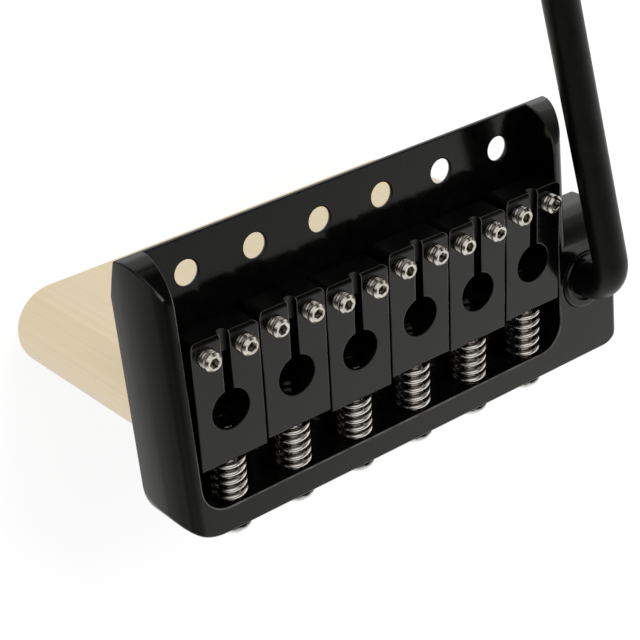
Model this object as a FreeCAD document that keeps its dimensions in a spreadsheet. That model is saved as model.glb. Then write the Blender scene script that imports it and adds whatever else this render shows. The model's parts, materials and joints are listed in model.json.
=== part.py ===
"""Guitar tremolo bridge: a cast tray with six saddles, a sustain block below it and a push-in arm.

Frame: X runs across the strings towards the arm, Y towards the pivot edge, Z up.
The origin is the middle of the row of pivot holes, on the floor of the tray.
"""
import FreeCAD
import Part
import Sketcher
import math
import os
import re

STRINGS = 6
BLOCK_SCREWS = 3
HOOK_HOLES = 5
SPRING_TURNS = 5
SET_SCREWS = 2

# Driving dimensions in millimetres
SIZES = {
    # shared by all pieces
    "string_pitch": 10.5,
    "running_clearance": 0.03,
    "overrun": 2.0,
    # tray casting
    "side_wall": 4.2,
    "side_room": 0.45,
    "floor_thickness": 2.5,
    "rim_height": 5.5,
    "front_reach": 4.9,
    "rear_reach": 34.8,
    "rear_wall": 3.6,
    "inner_corner_radius": 4.0,
    "outer_corner_radius": 7.0,
    "rim_flat": 0.3,
    "rim_crown": 2.2,
    "end_length": 6.2,
    "front_lip": 0.6,
    "knife_edge": 0.7,
    "knife_bevel": 5.2,
    "pivot_hole": 3.5,
    "pivot_land": 0.5,
    "screw_hole": 3.5,
    "screw_height": 2.85,
    "string_slot_width": 3.0,
    "string_slot_length": 6.0,
    # ear for the arm
    "ear_width": 7.5,
    "ear_front": 12.5,
    "ear_corner_radius": 3.0,
    "ear_edge_radius": 1.2,
    "arm_axis_out": 0.9,
    "arm_axis_behind": 22.4,
    # sustain block
    "block_inset": 0.8,
    "block_thickness": 12.1,
    "block_height": 31.2,
    "block_behind": 17.25,
    "block_edge_radius": 0.6,
    "string_bore": 3.2,
    "ball_bore": 5.6,
    "ball_depth": 14.0,
    "hook_hole": 2.6,
    "hook_depth": 8.0,
    "hook_forward": 3.2,
    # countersunk screws from the tray into the block
    "block_screw": 4.0,
    "block_screw_head": 6.8,
    "block_screw_length": 12.0,
    "block_screw_behind": 2.6,
    # saddles, measured from the axis of their intonation screw
    "saddle_gap": 0.3,
    "saddle_length": 18.65,
    "saddle_above": 1.9,
    "saddle_below": 2.3,
    "saddle_reach": 27.65,
    "saddle_corner_radius": 0.8,
    "nose_length": 0.6,
    "nose_depth": 0.35,
    "groove_width": 1.4,
    "groove_depth": 1.3,
    "groove_length": 3.3,
    "string_hole": 5.8,
    "string_hole_behind": 11.1,
    "intonation_1": -0.45,
    "intonation_2": 0.1,
    "intonation_3": -0.45,
    "intonation_4": 0.5,
    "intonation_5": 0.25,
    "intonation_6": 0.9,
    # socket set screws that carry the front of a saddle
    "set_screw": 2.6,
    "set_screw_length": 8.0,
    "set_screw_spacing": 5.6,
    "set_screw_behind": 2.45,
    "set_screw_tip": 0.6,
    "set_screw_socket": 1.3,
    "set_screw_socket_depth": 1.6,
    "foot_gap": 0.42,
    # intonation screws
    "screw": 3.0,
    "screw_length": 15.2,
    "screw_tip": 0.4,
    "screw_head": 5.0,
    "screw_head_height": 1.6,
    "screw_head_rim": 0.4,
    "head_gap": 0.35,
    # intonation springs
    "spring_diameter": 4.9,
    "spring_wire": 0.65,
    "spring_wall_gap": 0.32,
    "spring_saddle_gap": 0.1,
    # arm and its socket
    "arm_diameter": 5.0,
    "arm_bend": 5.6,
    "arm_height": 11.7,
    "arm_foot": 2.0,
    "arm_reach": 142.0,
    "sleeve_wall": 0.55,
    "socket_wall": 0.6,
    "socket_flange": 8.6,
    "socket_flange_thickness": 1.2,
    "socket_bead": 0.5,
    "tip_diameter": 7.4,
    "tip_length": 26.0,
    "tip_cover": 20.0,
    "tip_neck": 6.2,
}

# Angles in degrees
ANGLES = {
    "saddle_tilt_angle": 4.5,
    "arm_swivel_angle": 11.0,
}

document = FreeCAD.newDocument("tremolo_bridge")
sheet = document.addObject("Spreadsheet::Sheet", "Sizes")
for row, (alias, number) in enumerate((SIZES | ANGLES).items(), start=1):
    sheet.set(f"A{row}", alias)
    sheet.set(f"B{row}", str(number))
    sheet.setAlias(f"B{row}", alias)
document.recompute()

nodes = []


def bound(text):
    """Point every size that an expression names at its cell of the sheet."""
    return re.sub(r"[a-z]\w+", lambda word: f"Sizes.{word.group()}", text)


def worth(text):
    """Give the present value of an expression of sizes."""
    return float(sheet.evalExpression(bound(text)))


def new_body(label):
    """Start a sub-part whose label names its file."""
    body = document.addObject("PartDesign::Body", label)
    body.Label = label
    nodes.append(body)
    return body


def new_sketch(body, name, plane, out="0", across="0", up="0"):
    """Lay a sketch on an origin plane of its body, moved out of the plane and within it."""
    sketch = body.newObject("Sketcher::SketchObject", name)
    support = next(part for part in body.Origin.OriginFeatures if part.Role == plane)
    sketch.AttachmentSupport = [(support, "")]
    sketch.MapMode = "FlatFace"
    sketch.setExpression(".AttachmentOffset.Base.x", bound(across))
    sketch.setExpression(".AttachmentOffset.Base.y", bound(up))
    sketch.setExpression(".AttachmentOffset.Base.z", bound(out))
    return sketch


def fix(sketch, kind, expression, *places):
    """Add a constraint whose value follows an expression of sizes."""
    index = sketch.addConstraint(Sketcher.Constraint(kind, *places, worth(expression)))
    sketch.setExpression(f"Constraints[{index}]", bound(expression))


def arc_between(start, end, radius, turn):
    """Give the smaller arc from start to end, turning left (1) or right (-1)."""
    chord = end - start
    rise = math.sqrt(max(radius ** 2 - (chord.Length / 2) ** 2, 0))
    normal = FreeCAD.Vector(-chord.y, chord.x, 0).normalize() * turn
    centre = (start + end) / 2 + normal * rise
    circle = Part.Circle(centre, FreeCAD.Vector(0, 0, 1), radius)
    first, last = (start, end) if turn > 0 else (end, start)
    from_angle = math.atan2(first.y - centre.y, first.x - centre.x)
    to_angle = math.atan2(last.y - centre.y, last.x - centre.x)
    if to_angle < from_angle:
        to_angle += 2 * math.pi
    return Part.ArcOfCircle(circle, from_angle, to_angle)


def add_outline(sketch, corners):
    """Draw a closed outline. A corner is (x, y), or (x, y, radius, turn) where an arc leaves it."""
    points = [FreeCAD.Vector(worth(corner[0]), worth(corner[1]), 0) for corner in corners]
    pieces = []
    for index, corner in enumerate(corners):
        start = points[index]
        end = points[(index + 1) % len(points)]
        if len(corner) == 2:
            pieces.append((sketch.addGeometry(Part.LineSegment(start, end)), 1, 2))
        else:
            arc = sketch.addGeometry(arc_between(start, end, worth(corner[2]), corner[3]))
            pieces.append((arc, 1, 2) if corner[3] > 0 else (arc, 2, 1))
    for index, (piece, first, last) in enumerate(pieces):
        following, following_first, following_last = pieces[(index + 1) % len(pieces)]
        sketch.addConstraint(Sketcher.Constraint("Coincident", piece, last, following, following_first))
    for corner, (piece, first, last) in zip(corners, pieces):
        fix(sketch, "DistanceX", corner[0], -1, 1, piece, first)
        fix(sketch, "DistanceY", corner[1], -1, 1, piece, first)
        if len(corner) > 2:
            fix(sketch, "Radius", corner[2], piece)


def add_circle(sketch, x, y, diameter):
    """Draw a circle by its centre and diameter."""
    centre = FreeCAD.Vector(worth(x), worth(y), 0)
    circle = sketch.addGeometry(Part.Circle(centre, FreeCAD.Vector(0, 0, 1), worth(diameter) / 2))
    fix(sketch, "DistanceX", x, -1, 1, circle, 3)
    fix(sketch, "DistanceY", y, -1, 1, circle, 3)
    fix(sketch, "Diameter", diameter, circle)


def add_slot(sketch, x, y, width, length):
    """Draw a slot with round ends, by its middle, its width along x and its length along y."""
    half_length = f"({length}) / 2"
    half_width = f"({width}) / 2"
    straight = f"({length} - ({width})) / 2"
    add_outline(sketch, [
        (f"{x} + {half_width}", f"{y} + {straight}", half_width, 1),
        (x, f"{y} + {half_length}", half_width, 1),
        (f"{x} - {half_width}", f"{y} + {straight}"),
        (f"{x} - {half_width}", f"{y} - {straight}", half_width, 1),
        (x, f"{y} - {half_length}", half_width, 1),
        (f"{x} + {half_width}", f"{y} - {straight}"),
    ])


def pad(body, sketch, name, length, backwards=False, middle=False):
    """Raise a sketch into a solid."""
    feature = body.newObject("PartDesign::Pad", name)
    feature.Profile = sketch
    feature.setExpression("Length", bound(length))
    feature.Reversed = backwards
    feature.SideType = "Symmetric" if middle else "One side"
    return feature


def pocket(body, sketch, name, length=None, backwards=False):
    """Cut a sketch out of the solid, to a length, or right through both ways."""
    feature = body.newObject("PartDesign::Pocket", name)
    feature.Profile = sketch
    feature.Reversed = backwards
    if length is None:
        feature.Type = "ThroughAll"
        feature.SideType = "Symmetric"
    else:
        feature.setExpression("Length", bound(length))
    return feature


def turn(body, sketch, name, kind="PartDesign::Groove", axis="V_Axis"):
    """Turn a sketch about one of its own axes, as a cut or as a solid."""
    feature = body.newObject(kind, name)
    feature.Profile = sketch
    feature.ReferenceAxis = (sketch, [axis])
    return feature


def repeat(body, feature, sketch, name, length, count):
    """Repeat a feature along the horizontal axis of a sketch."""
    pattern = body.newObject("PartDesign::LinearPattern", name)
    pattern.Originals = [feature]
    pattern.Direction = (sketch, ["H_Axis"])
    pattern.setExpression("Length", bound(length))
    pattern.Occurrences = count
    body.Tip = pattern
    return pattern


def must_cut(body, volume):
    """Check that the last feature took material away, and give the volume that is left."""
    document.recompute()
    left = body.Shape.Volume
    if left >= volume:
        raise RuntimeError(f"{body.Label}: {body.Tip.Label} cuts nothing")
    return left


def edges_where(body, tests):
    """Name the edges of a body whose end points all pass one of the tests."""
    document.recompute()
    return [f"Edge{number}" for number, edge in enumerate(body.Shape.Edges, start=1)
            if any(all(test(vertex.Point) for vertex in edge.Vertexes) for test in tests)]


def round_edges(body, name, radius, *tests):
    """Round the edges whose end points pass one of the tests."""
    names = edges_where(body, tests)
    last = body.Tip
    feature = body.newObject("PartDesign::Fillet", name)
    feature.Base = (last, names)
    feature.setExpression("Radius", bound(radius))
    document.recompute()
    return feature


def near(one, other):
    """Say whether two places agree, within a small part of the running clearance."""
    return abs(one - other) < SIZES["running_clearance"] / 10


FIRST_STRING = f"-string_pitch * {STRINGS - 1} / 2"
STRING_SPAN = f"string_pitch * {STRINGS - 1}"
FIRST_BLOCK_SCREW = f"-string_pitch * {BLOCK_SCREWS - 1}"
BLOCK_SCREW_SPAN = f"string_pitch * {2 * (BLOCK_SCREWS - 1)}"
FIRST_HOOK = f"-string_pitch * {HOOK_HOLES - 1} / 2"
HOOK_SPAN = f"string_pitch * {HOOK_HOLES - 1}"
SADDLE_WIDTH = "(string_pitch - saddle_gap)"
INNER_SIDE = f"({STRING_SPAN} / 2 + {SADDLE_WIDTH} / 2 + side_room)"
SIDE = f"({INNER_SIDE} + side_wall)"
SIDE_ROUND = "(side_wall - rim_flat)"
END_DROP = "(rim_height - front_lip)"
REAR_INSIDE = "(rear_reach - rear_wall)"
ARM_X = f"({SIDE} + arm_axis_out)"
EAR_SIDE = f"({SIDE} + ear_width)"
BLOCK_FOOT = "(floor_thickness + block_height)"
BLOCK_SCREW_BEHIND = "(block_behind + block_screw_behind)"
SOCKET_BORE = "(arm_diameter / 2 + sleeve_wall + socket_wall + 3 * running_clearance)"


def base_plate():
    """Cast tray: floor, two side walls, rear wall and the ear for the arm."""
    body = new_body("base_plate")
    plan = new_sketch(body, "tray_plan", "XY_Plane", "-floor_thickness")
    add_outline(plan, [
        (f"-{SIDE}", "front_reach"),
        (f"-{SIDE}", "outer_corner_radius - rear_reach", "outer_corner_radius", 1),
        (f"outer_corner_radius - {SIDE}", "-rear_reach"),
        (SIDE, "-rear_reach"),
        (SIDE, "front_reach"),
    ])
    pad(body, plan, "tray", "floor_thickness + rim_height")
    document.recompute()
    volume = body.Shape.Volume

    # the outer face of both side walls is a long flank that runs smoothly into a tighter crown
    section = new_sketch(body, "side_section", "XZ_Plane")
    crown_in = f"({SIDE_ROUND} - rim_crown)"
    crown_up = "(floor_thickness + rim_height - rim_crown)"
    centres_apart = f"(({crown_in} * {crown_in} + {crown_up} * {crown_up}) / (2 * {crown_in}))"
    flank = f"({centres_apart} + rim_crown)"
    join_in = f"({flank} * {crown_in} / {centres_apart})"
    join_up = f"({flank} * {crown_up} / {centres_apart})"
    add_outline(section, [
        (f"-{SIDE} - overrun", "-floor_thickness"),
        (f"-{SIDE}", "-floor_thickness", flank, -1),
        (f"{join_in} - {SIDE}", f"{join_up} - floor_thickness", "rim_crown", -1),
        (f"{SIDE_ROUND} - {SIDE}", "rim_height"),
        (f"{SIDE_ROUND} - {SIDE}", "rim_height + overrun"),
        (f"-{SIDE} - overrun", "rim_height + overrun"),
    ])
    left_round = pocket(body, section, "side_round")
    volume = must_cut(body, volume)
    both = body.newObject("PartDesign::Mirrored", "side_rounds")
    both.Originals = [left_round]
    both.MirrorPlane = (section, ["V_Axis"])
    body.Tip = both
    volume = must_cut(body, volume)

    # the ear stands beside the right wall and is rounded down at its front
    side_view = new_sketch(body, "ear_side", "YZ_Plane", INNER_SIDE)
    add_outline(side_view, [
        ("-rear_reach", "-floor_thickness"),
        ("-ear_front", "-floor_thickness"),
        ("-ear_front", "front_lip", END_DROP, 1),
        (f"-ear_front - {END_DROP}", "rim_height"),
        ("-rear_reach", "rim_height"),
    ])
    pad(body, side_view, "ear", f"{SIDE} - {INNER_SIDE} + ear_width")
    ear_x = worth(EAR_SIDE)
    ear_y = worth("-ear_front")
    round_edges(body, "ear_edge", "ear_edge_radius", lambda p: near(p.x, ear_x) and near(p.y, ear_y))
    volume = body.Shape.Volume
    corner = new_sketch(body, "ear_corner_plan", "XY_Plane")
    add_outline(corner, [
        (f"{EAR_SIDE} - ear_corner_radius", "-rear_reach", "ear_corner_radius", 1),
        (EAR_SIDE, "ear_corner_radius - rear_reach"),
        (f"{EAR_SIDE} + overrun", "ear_corner_radius - rear_reach"),
        (f"{EAR_SIDE} + overrun", "-rear_reach - overrun"),
        (f"{EAR_SIDE} - ear_corner_radius", "-rear_reach - overrun"),
    ])
    pocket(body, corner, "ear_corner")
    volume = must_cut(body, volume)

    # the hollow of the tray is open at the front
    hollow = new_sketch(body, "hollow_plan", "XY_Plane", "rim_height")
    add_outline(hollow, [
        (f"-{INNER_SIDE}", "front_reach + overrun"),
        (f"-{INNER_SIDE}", f"inner_corner_radius - {REAR_INSIDE}", "inner_corner_radius", 1),
        (f"inner_corner_radius - {INNER_SIDE}", f"-{REAR_INSIDE}"),
        (f"{INNER_SIDE} - inner_corner_radius", f"-{REAR_INSIDE}", "inner_corner_radius", 1),
        (INNER_SIDE, f"inner_corner_radius - {REAR_INSIDE}"),
        (INNER_SIDE, "front_reach + overrun"),
    ])
    pocket(body, hollow, "hollow", "rim_height")
    volume = must_cut(body, volume)

    # the front ends of the walls are rounded down to the front edge
    ends = new_sketch(body, "wall_ends", "YZ_Plane")
    end_radius = f"((end_length * end_length + {END_DROP} * {END_DROP}) / (2 * {END_DROP}))"
    add_outline(ends, [
        ("front_reach + overrun", "front_lip"),
        ("front_reach", "front_lip", end_radius, 1),
        ("front_reach - end_length", "rim_height"),
        ("front_reach - end_length", "rim_height + overrun"),
        ("front_reach + overrun", "rim_height + overrun"),
    ])
    pocket(body, ends, "wall_end_rounds")
    volume = must_cut(body, volume)

    # the floor is bevelled from below to a thin pivot edge
    knife = new_sketch(body, "knife_section", "YZ_Plane")
    add_outline(knife, [
        ("front_reach", "-knife_edge"),
        ("front_reach - knife_bevel", "-floor_thickness"),
        ("front_reach - knife_bevel", "-floor_thickness - overrun"),
        ("front_reach + overrun", "-floor_thickness - overrun"),
        ("front_reach + overrun", "-knife_edge"),
    ])
    pocket(body, knife, "knife_bevel_cut")
    volume = must_cut(body, volume)

    # the pivot holes open out below a thin land, so that the tray can rock on its screws
    pivots = new_sketch(body, "pivot_section", "XZ_Plane", "0", FIRST_STRING)
    flare = "(floor_thickness + overrun - pivot_land)"
    add_outline(pivots, [
        ("0", "overrun"),
        ("0", "-floor_thickness - overrun"),
        (f"pivot_hole / 2 + {flare}", "-floor_thickness - overrun"),
        ("pivot_hole / 2", "-pivot_land"),
        ("pivot_hole / 2", "overrun"),
    ])
    hole = turn(body, pivots, "pivot_hole_cut")
    repeat(body, hole, pivots, "pivot_holes", STRING_SPAN, STRINGS)
    volume = must_cut(body, volume)

    slots = new_sketch(body, "slot_plan", "XY_Plane")
    add_slot(slots, FIRST_STRING, "-block_behind", "string_slot_width", "string_slot_length")
    slot = pocket(body, slots, "string_slot_cut")
    repeat(body, slot, slots, "string_slots", STRING_SPAN, STRINGS)
    volume = must_cut(body, volume)

    rear = new_sketch(body, "rear_holes_plan", "XZ_Plane", "rear_reach")
    add_circle(rear, FIRST_STRING, "screw_height", "screw_hole")
    hole = pocket(body, rear, "rear_hole_cut", "rear_wall + overrun")
    repeat(body, hole, rear, "rear_holes", STRING_SPAN, STRINGS)
    volume = must_cut(body, volume)

    sinks = new_sketch(body, "countersink", "XZ_Plane", BLOCK_SCREW_BEHIND, FIRST_BLOCK_SCREW)
    head = "(block_screw_head / 2 + running_clearance)"
    shank = "(block_screw / 2 + running_clearance)"
    add_outline(sinks, [
        ("0", "overrun"),
        ("0", "-floor_thickness - overrun"),
        (shank, "-floor_thickness - overrun"),
        (shank, f"{shank} - {head}"),
        (f"{head} + overrun", "overrun"),
    ])
    sink = turn(body, sinks, "countersink_cut")
    repeat(body, sink, sinks, "countersinks", BLOCK_SCREW_SPAN, BLOCK_SCREWS)
    volume = must_cut(body, volume)

    socket = new_sketch(body, "socket_section", "XZ_Plane", "arm_axis_behind", ARM_X)
    seat = "(socket_flange / 2 + running_clearance)"
    add_outline(socket, [
        ("0", "rim_height + overrun"),
        ("0", "-floor_thickness - overrun"),
        (SOCKET_BORE, "-floor_thickness - overrun"),
        (SOCKET_BORE, "rim_height - socket_flange_thickness"),
        (seat, "rim_height - socket_flange_thickness"),
        (seat, "rim_height + overrun"),
    ])
    turn(body, socket, "socket_bore")
    must_cut(body, volume)


def sustain_block():
    """Block with full-round ends, bored for the strings from below and for the spring hooks."""
    body = new_body("sustain_block")
    plan = new_sketch(body, "block_plan", "XY_Plane", "-floor_thickness")
    half = "block_thickness / 2"
    straight = f"({SIDE} - block_inset - block_thickness / 2)"
    end = f"({SIDE} - block_inset)"
    add_outline(plan, [
        (f"-{straight}", f"{half} - block_behind", half, 1),
        (f"-{end}", "-block_behind", half, 1),
        (f"-{straight}", f"-{half} - block_behind"),
        (straight, f"-{half} - block_behind", half, 1),
        (end, "-block_behind", half, 1),
        (straight, f"{half} - block_behind"),
    ])
    pad(body, plan, "block", "block_height", backwards=True)
    foot = worth(f"-{BLOCK_FOOT}")
    round_edges(body, "foot_edge", "block_edge_radius", lambda p: near(p.z, foot))
    volume = body.Shape.Volume

    bores = new_sketch(body, "bore_section", "XZ_Plane", "block_behind", FIRST_STRING)
    add_outline(bores, [
        ("0", "overrun - floor_thickness"),
        ("0", f"-{BLOCK_FOOT} - overrun"),
        ("ball_bore / 2", f"-{BLOCK_FOOT} - overrun"),
        ("ball_bore / 2", f"ball_depth - {BLOCK_FOOT}"),
        ("string_bore / 2", f"ball_depth - {BLOCK_FOOT}"),
        ("string_bore / 2", "overrun - floor_thickness"),
    ])
    bore = turn(body, bores, "string_bore_cut")
    repeat(body, bore, bores, "string_bores", STRING_SPAN, STRINGS)
    volume = must_cut(body, volume)

    hooks = new_sketch(body, "hook_plan", "XY_Plane", f"-{BLOCK_FOOT}")
    add_circle(hooks, FIRST_HOOK, "hook_forward - block_behind", "hook_hole")
    hook = pocket(body, hooks, "hook_hole_cut", "hook_depth", backwards=True)
    repeat(body, hook, hooks, "hook_holes", HOOK_SPAN, HOOK_HOLES)
    volume = must_cut(body, volume)

    threads = new_sketch(body, "thread_plan", "XY_Plane", "-floor_thickness")
    add_circle(threads, FIRST_BLOCK_SCREW, f"-{BLOCK_SCREW_BEHIND}", "block_screw + 2 * running_clearance")
    thread = pocket(body, threads, "thread_hole_cut", "block_screw_length")
    repeat(body, thread, threads, "thread_holes", BLOCK_SCREW_SPAN, BLOCK_SCREWS)
    must_cut(body, volume)


def block_screws():
    """Three countersunk screws, flush with the floor of the tray."""
    body = new_body("block_screws")
    section = new_sketch(body, "screw_section", "XZ_Plane", BLOCK_SCREW_BEHIND, FIRST_BLOCK_SCREW)
    add_outline(section, [
        ("0", "0"),
        ("0", "-block_screw_length"),
        ("block_screw / 2", "-block_screw_length"),
        ("block_screw / 2", "(block_screw - block_screw_head) / 2"),
        ("block_screw_head / 2", "0"),
    ])
    screw = turn(body, section, "one_screw", "PartDesign::Revolution")
    repeat(body, screw, section, "screws", BLOCK_SCREW_SPAN, BLOCK_SCREWS)


def on_screw_axis(body, string):
    """Set a piece on the tilted axis of one intonation screw, with its origin inside the rear wall."""
    across = worth(f"{FIRST_STRING} + string_pitch * {string}")
    middle = FreeCAD.Vector(across, worth("rear_wall / 2 - rear_reach"), worth("screw_height"))
    tilt = FreeCAD.Rotation(FreeCAD.Vector(1, 0, 0), worth("saddle_tilt_angle"))
    body.Placement = FreeCAD.Placement(middle, tilt)


def saddle_front(string):
    """Distance of a saddle's front face ahead of the rear wall's middle, along the screw."""
    return f"(saddle_reach + intonation_{string + 1})"


def saddle(string):
    """Saddle block: rounded nose, string groove, slot and string hole, and three threaded holes."""
    body = new_body(f"saddle_{string + 1}")
    front = saddle_front(string)
    rear = f"({front} - saddle_length)"
    side_view = new_sketch(body, "saddle_side", "YZ_Plane")
    nose_radius = "((nose_length * nose_length + nose_depth * nose_depth) / (2 * nose_depth))"
    add_outline(side_view, [
        (rear, "-saddle_below"),
        (front, "-saddle_below"),
        (front, "saddle_above - nose_depth", nose_radius, 1),
        (f"{front} - nose_length", "saddle_above"),
        (rear, "saddle_above"),
    ])
    pad(body, side_view, "saddle_block", SADDLE_WIDTH, middle=True)
    front_y = worth(front)
    side_x = worth(f"{SADDLE_WIDTH} / 2")
    round_edges(body, "front_corners", "saddle_corner_radius",
                lambda p: near(p.y, front_y) and near(p.x, side_x),
                lambda p: near(p.y, front_y) and near(p.x, -side_x))
    volume = body.Shape.Volume

    keyhole = new_sketch(body, "hole_plan", "XY_Plane")
    add_circle(keyhole, "0", f"{front} - string_hole_behind", "string_hole")
    pocket(body, keyhole, "string_hole_cut")
    volume = must_cut(body, volume)

    slit = new_sketch(body, "slot_plan", "XY_Plane")
    add_outline(slit, [
        ("-groove_width / 2", f"{front} - groove_length"),
        ("-groove_width / 2", f"{front} - string_hole_behind"),
        ("groove_width / 2", f"{front} - string_hole_behind"),
        ("groove_width / 2", f"{front} - groove_length"),
    ])
    pocket(body, slit, "slot_cut")
    volume = must_cut(body, volume)

    groove = new_sketch(body, "groove_section", "XZ_Plane", f"-{front}")
    bottom = "(saddle_above - groove_depth)"
    add_outline(groove, [
        ("groove_width / 2", "saddle_above + overrun"),
        ("-groove_width / 2", "saddle_above + overrun"),
        ("-groove_width / 2", f"{bottom} + groove_width / 2", "groove_width / 2", 1),
        ("0", bottom, "groove_width / 2", 1),
        ("groove_width / 2", f"{bottom} + groove_width / 2"),
    ])
    pocket(body, groove, "string_groove", "groove_length", backwards=True)
    volume = must_cut(body, volume)

    feet = new_sketch(body, "set_screw_plan", "XY_Plane")
    add_circle(feet, "-set_screw_spacing / 2", f"{front} - set_screw_behind",
               "set_screw + 2 * running_clearance")
    foot = pocket(body, feet, "set_screw_hole")
    repeat(body, foot, feet, "set_screw_holes", "set_screw_spacing", SET_SCREWS)
    volume = must_cut(body, volume)

    thread = new_sketch(body, "thread_plan", "XZ_Plane", f"-{rear}")
    add_circle(thread, "0", "0", "screw + 2 * running_clearance")
    pocket(body, thread, "thread_hole", "saddle_length - string_hole_behind")
    must_cut(body, volume)
    on_screw_axis(body, string)


def height_screws(string):
    """Pair of socket set screws whose tips stand just above the floor of the tray."""
    body = new_body(f"height_screws_{string + 1}")
    along = f"({saddle_front(string)} - set_screw_behind)"
    tilt = math.radians(worth("saddle_tilt_angle"))
    drop = (worth("screw_height - foot_gap") + worth(along) * math.sin(tilt)) / math.cos(tilt)
    tip = FreeCAD.Vector(-worth("set_screw_spacing / 2"), worth(along), -drop)

    section = new_sketch(body, "set_screw_section", "XZ_Plane")
    radius = "set_screw / 2"
    add_outline(section, [
        ("0", "0"),
        (f"{radius} - set_screw_tip", "0"),
        (radius, "set_screw_tip"),
        (radius, "set_screw_length - set_screw_tip / 2"),
        (f"{radius} - set_screw_tip / 2", "set_screw_length"),
        ("0", "set_screw_length"),
    ])
    screw = turn(body, section, "one_set_screw", "PartDesign::Revolution")
    socket = new_sketch(body, "socket_plan", "XY_Plane", "set_screw_length")
    half = "set_screw_socket / 2"
    corner = f"set_screw_socket / {math.sqrt(3)}"
    add_outline(socket, [
        (corner, "0"),
        (f"{corner} / 2", half),
        (f"-{corner} / 2", half),
        (f"-{corner}", "0"),
        (f"-{corner} / 2", f"-{half}"),
        (f"{corner} / 2", f"-{half}"),
    ])
    cut = pocket(body, socket, "socket_cut", "set_screw_socket_depth")
    pair = repeat(body, screw, section, "set_screws", "set_screw_spacing", SET_SCREWS)
    pair.Originals = [screw, cut]
    document.recompute()
    on_screw_axis(body, string)
    body.Placement = body.Placement.multiply(FreeCAD.Placement(tip, FreeCAD.Rotation()))


def intonation_screw(string):
    """Pan-head screw through the rear wall and the spring into the saddle."""
    body = new_body(f"intonation_screw_{string + 1}")
    face = "(rear_wall / 2 + head_gap)"
    dome_drop = "(screw_head_height - screw_head_rim)"
    dome = f"((screw_head * screw_head / 4 + {dome_drop} * {dome_drop}) / (2 * {dome_drop}))"
    section = new_sketch(body, "screw_section", "YZ_Plane")
    add_outline(section, [
        (f"screw_length - {face}", "0"),
        (f"screw_length - {face}", "screw / 2 - screw_tip"),
        (f"screw_length - {face} - screw_tip", "screw / 2"),
        (f"-{face}", "screw / 2"),
        (f"-{face}", "screw_head / 2"),
        (f"-{face} - screw_head_rim", "screw_head / 2", dome, 1),
        (f"-{face} - screw_head_height", "0"),
    ])
    turn(body, section, "screw", "PartDesign::Revolution", "H_Axis")
    on_screw_axis(body, string)


def arc_from(start, direction, end):
    """Give the arc that leaves start in a direction and reaches end."""
    chord = end - start
    along = FreeCAD.Vector(chord).normalize()
    aside = direction - along * direction.dot(along)
    half_angle = math.atan2(aside.Length, direction.dot(along))
    bulge = aside.normalize() * (chord.Length / 2 * math.tan(half_angle / 2))
    return Part.Arc(start, (start + end) / 2 + bulge, end).toShape()


def biarc(start, leaving, end, arriving):
    """Join two points by two arcs that share a tangent where they meet."""
    chord = end - start
    both = leaving + arriving
    spread = 2 * (1 - leaving.dot(arriving))
    reach = (math.sqrt(chord.dot(both) ** 2 + spread * chord.dot(chord)) - chord.dot(both)) / spread
    middle = (start + end) / 2 + (leaving - arriving) * (reach / 2)
    first = arc_from(start, leaving, middle)
    second_back = arc_from(end, arriving * -1, middle)
    points = second_back.discretize(3)
    return [first, Part.Arc(points[2], points[1], points[0]).toShape()]


def coil(radius, first, last, turns):
    """Give the edges of a right-hand helix about Y, as biarcs of half a turn each."""
    halves = 2 * turns
    step = (last - first) / halves

    def place(index):
        angle = math.pi * (index - 0.5)
        return FreeCAD.Vector(-radius * math.cos(angle), first + step * index, radius * math.sin(angle))

    def heading(index):
        angle = math.pi * (index - 0.5)
        slope = step / math.pi
        return FreeCAD.Vector(radius * math.sin(angle), slope, radius * math.cos(angle)).normalize()

    edges = []
    for index in range(halves):
        edges += biarc(place(index), heading(index), place(index + 1), heading(index + 1))
    return edges, heading(0)


def least_gap(edges, wire, turns):
    """Measure the least gap between neighbouring turns, on points along the coil."""
    per_edge = 12
    points = [point for edge in edges for point in edge.discretize(per_edge + 1)[:-1]]
    half_turn = len(points) // (2 * turns)
    return min(points[one].distanceToPoint(points[other])
               for one in range(len(points)) for other in range(one + half_turn, len(points))) - wire


def intonation_spring(string):
    """Coil spring round the screw, between the rear wall and the saddle."""
    wire = worth("spring_wire")
    radius = worth("spring_diameter / 2 - spring_wire / 2")
    first = worth("rear_wall / 2 + spring_wall_gap + spring_wire / 2")
    last = worth(f"{saddle_front(string)} - saddle_length - spring_saddle_gap - spring_wire / 2")
    edges, heading = coil(radius, first, last, SPRING_TURNS)
    section = Part.Wire(Part.Circle(edges[0].firstVertex().Point, heading, wire / 2).toShape())
    spring = document.addObject("Part::Feature", f"intonation_spring_{string + 1}")
    spring.Label = f"intonation_spring_{string + 1}"
    spring.Shape = Part.Wire(edges).makePipeShell([section], True, False)
    on_screw_axis(spring, string)
    nodes.append(spring)
    print(f"{spring.Label}: least gap to itself {least_gap(edges, wire, SPRING_TURNS):.3f} mm")


def at_arm(body):
    """Set a piece on the upright axis of the arm."""
    foot = FreeCAD.Vector(worth(ARM_X), -worth("arm_axis_behind"), 0)
    swivel = FreeCAD.Rotation(FreeCAD.Vector(0, 0, 1), worth("arm_swivel_angle"))
    body.Placement = FreeCAD.Placement(foot, swivel)


def arm_socket():
    """Metal bush in the ear, with a raised rounded flange."""
    body = new_body("arm_socket")
    section = new_sketch(body, "socket_section", "XZ_Plane")
    inside = "(arm_diameter / 2 + sleeve_wall + 2 * running_clearance)"
    outside = f"({inside} + socket_wall)"
    add_outline(section, [
        (inside, "rim_height + socket_bead"),
        (inside, "-floor_thickness"),
        (outside, "-floor_thickness"),
        (outside, "rim_height - socket_flange_thickness"),
        ("socket_flange / 2", "rim_height - socket_flange_thickness"),
        ("socket_flange / 2", "rim_height", "socket_bead", 1),
        ("socket_flange / 2 - socket_bead", "rim_height + socket_bead"),
    ])
    turn(body, section, "bush", "PartDesign::Revolution")
    at_arm(body)


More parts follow.
